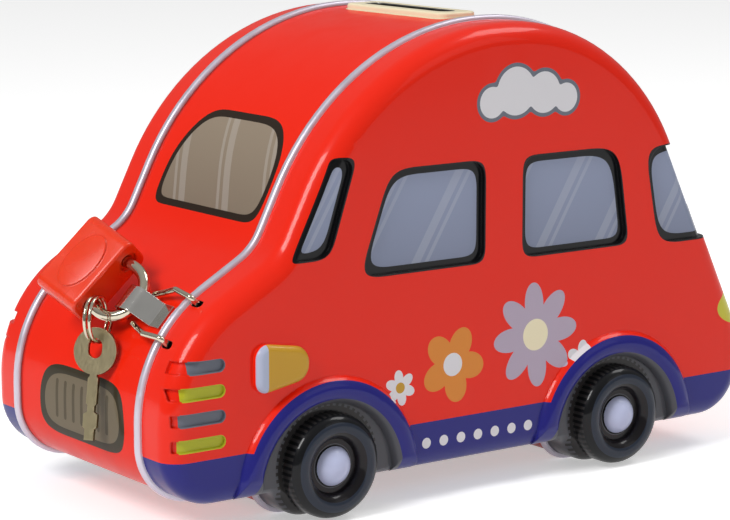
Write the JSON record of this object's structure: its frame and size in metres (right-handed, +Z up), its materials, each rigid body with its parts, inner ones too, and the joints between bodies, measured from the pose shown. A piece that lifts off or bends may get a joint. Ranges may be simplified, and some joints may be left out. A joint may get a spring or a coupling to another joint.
{
  "type": "tin money box",
  "caption": "Car-shaped tinplate money box with a coin slot in the roof, a hinged side that opens, a wire latch and a small padlock with its key.",
  "frame": {"origin": "on the table, under the middle of the whole object", "axes": "+X from the nose to the tail, +Y from the opening side to the far side, +Z up"},
  "size_m": [0.1758, 0.0862, 0.1094],
  "materials": {
    "red_tin": "glossy lacquered tinplate",
    "bright_steel": "plain bright steel",
    "bright_tin": "bright tinplate",
    "nickel": "polished nickel",
    "red_plastic": "glossy moulded plastic",
    "lock_brass": "plain",
    "spring_steel": "plain",
    "key_metal": "satin nickel"
  },
  "bodies": {
    "tin_body": {"centre_band": "red_tin", "far_side_shell": "red_tin", "hinge_leaf_body": "bright_steel", "hinge_pin": "bright_steel", "hook_strip": "bright_tin"},
    "lid": {"lid_shell": "red_tin", "hinge_leaf_lid": "bright_steel"},
    "latch_wire": {"latch_wire": "nickel"},
    "shackle": {"padlock_shackle": "nickel"},
    "padlock_case": {"padlock_jacket": "red_plastic", "lock_block": "lock_brass", "bottom_plate": "lock_brass", "plug_clip": "spring_steel", "bolt_spring": "spring_steel", "shackle_spring": "spring_steel", "retaining_pin": "spring_steel"},
    "plug": {"lock_plug": "lock_brass"},
    "bolt": {"locking_bolt": "lock_brass"},
    "ring": {"split_ring": "nickel"},
    "key": {"padlock_key": "key_metal"}
  },
  "joints": [
    {"name": "lid_hinge", "type": "hinge", "parent": "tin_body", "child": "lid", "pos_m": [0.0791, -0.02555, 0.05072], "axis": [-0.4384, 0, 0.8988], "range_deg": [0, 110]},
    {"name": "latch_wire_swing", "type": "hinge", "parent": "lid", "child": "latch_wire", "pos_m": [-0.07224, -0.0299, 0.0468], "axis": [0.6947, 0, 0.7193], "range_deg": [0, 55]},
    {"name": "padlock_swing", "type": "hinge", "parent": "tin_body", "child": "shackle", "pos_m": [-0.07468, -0.0147, 0.04916], "axis": [0.6861, -0.1564, 0.7105], "range_deg": [0, 50]},
    {"name": "padlock_release", "type": "slide", "parent": "shackle", "child": "padlock_case", "axis": [-0.181, 0.9092, 0.375], "range_m": [0, 0.0055]},
    {"name": "lock_plug_turn", "type": "hinge", "parent": "padlock_case", "child": "plug", "pos_m": [-0.07636, -0.00624, 0.05265], "axis": [0.181, -0.9092, -0.375], "range_deg": [0, 90.5]},
    {"name": "bolt_slide", "type": "slide", "parent": "padlock_case", "child": "bolt", "axis": [-0.6861, 0.1564, -0.7105], "range_m": [0, 0.0012], "stiffness_N_per_m": 6, "springref_m": -0.0006},
    {"name": "ring_swing", "type": "hinge", "parent": "shackle", "child": "ring", "pos_m": [-0.08001, -0.00888, 0.04662], "axis": [-0.181, 0.9092, 0.375], "range_deg": [0, 45]},
    {"name": "key_swing", "type": "hinge", "parent": "ring", "child": "key", "pos_m": [-0.08146, -0.00982, 0.04582], "axis": [-0.5446, 0.8387, 0], "range_deg": [0, 80]}
  ],
  "couplings": [
    {"joint": "lock_plug_turn", "follows": "bolt_slide", "rad_per_m": 1309}
  ]
}
